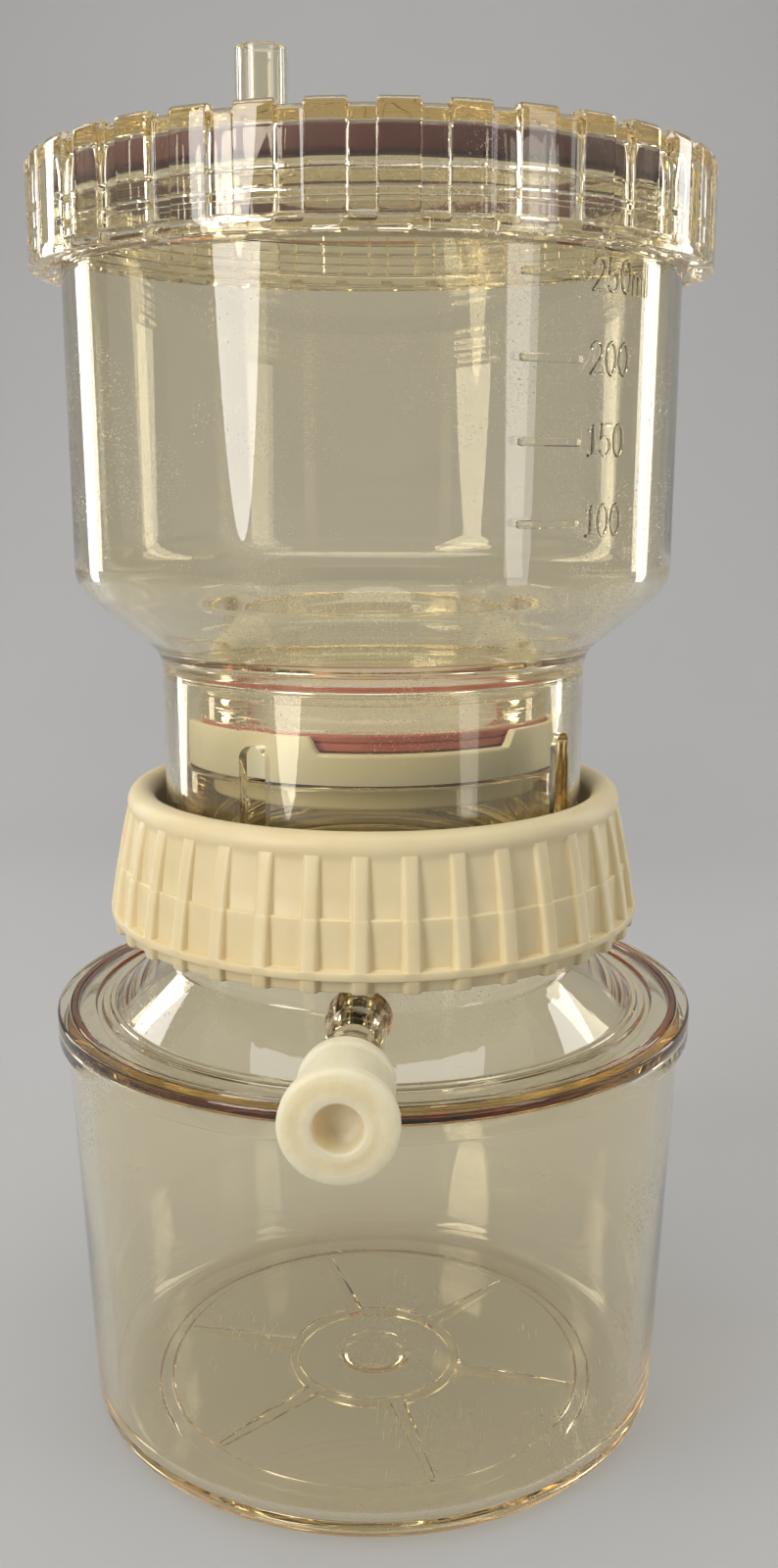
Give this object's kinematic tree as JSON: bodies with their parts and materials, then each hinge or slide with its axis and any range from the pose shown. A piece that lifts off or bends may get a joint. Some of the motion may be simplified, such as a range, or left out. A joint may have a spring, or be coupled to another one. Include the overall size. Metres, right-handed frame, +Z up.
{
  "type": "vacuum filtration unit",
  "caption": "Bench vacuum filtration unit: screw-lidded clear chamber with a vent, filter support plate, ribbed lock collar and a clear receiver jar with a capped side port.",
  "frame": {"origin": "centre of the underside of the bounding box, in the plane of the jar's foot; the jar's axis stands 8.85 mm behind it, towards +Y", "axes": "+Z up along the axis of the jar and the chamber, -Y the way the side port points"},
  "size_m": [0.0946, 0.1122, 0.1989],
  "materials": {
    "clear_plastic": "polished transparent polysulfone with an amber tint",
    "milky_plastic": "natural translucent polyethylene, satin",
    "cream_plastic": "cream polypropylene, satin as moulded",
    "red_silicone": "pinkish red silicone, smooth",
    "maroon_silicone": "dark maroon silicone, smooth",
    "membrane": "white porous filter membrane, matt"
  },
  "bodies": {
    "receiver": {"receiver_jar": "clear_plastic", "receiver_top": "clear_plastic", "support_plate": "cream_plastic", "neck_gasket": "red_silicone", "filter_membrane": "membrane", "filter_gasket": "red_silicone"},
    "cap": {"port_cap": "milky_plastic"},
    "chamber": {"upper_chamber": "clear_plastic"},
    "collar": {"lock_collar": "cream_plastic"},
    "lid_seal": {"lid_gasket": "maroon_silicone"},
    "screw_lid": {"lid": "clear_plastic"}
  },
  "joints": [
    {"name": "chamber_lift", "type": "slide", "parent": "receiver", "child": "chamber", "axis": [0, 0, 1], "range_m": [0, 0.00876]},
    {"name": "collar_turn", "type": "hinge", "parent": "chamber", "child": "collar", "pos_m": [0, 0.00885, 0.086], "axis": [0, 0, 1], "range_deg": [0, 630]},
    {"name": "lid_lift", "type": "slide", "parent": "chamber", "child": "lid_seal", "axis": [0, 0, 1], "range_m": [0, 0.00451]},
    {"name": "lid_turn", "type": "hinge", "parent": "lid_seal", "child": "screw_lid", "pos_m": [0, 0.00885, 0.174], "axis": [0, 0, 1], "range_deg": [0, 540]},
    {"name": "cap_pull", "type": "slide", "parent": "receiver", "child": "cap", "axis": [0, -1, 0], "range_m": [0, 0.012]}
  ],
  "couplings": [
    {"joint": "chamber_lift", "follows": "collar_turn", "m_per_rad": 0.00079577},
    {"joint": "lid_lift", "follows": "lid_turn", "m_per_rad": 0.00047746}
  ]
}
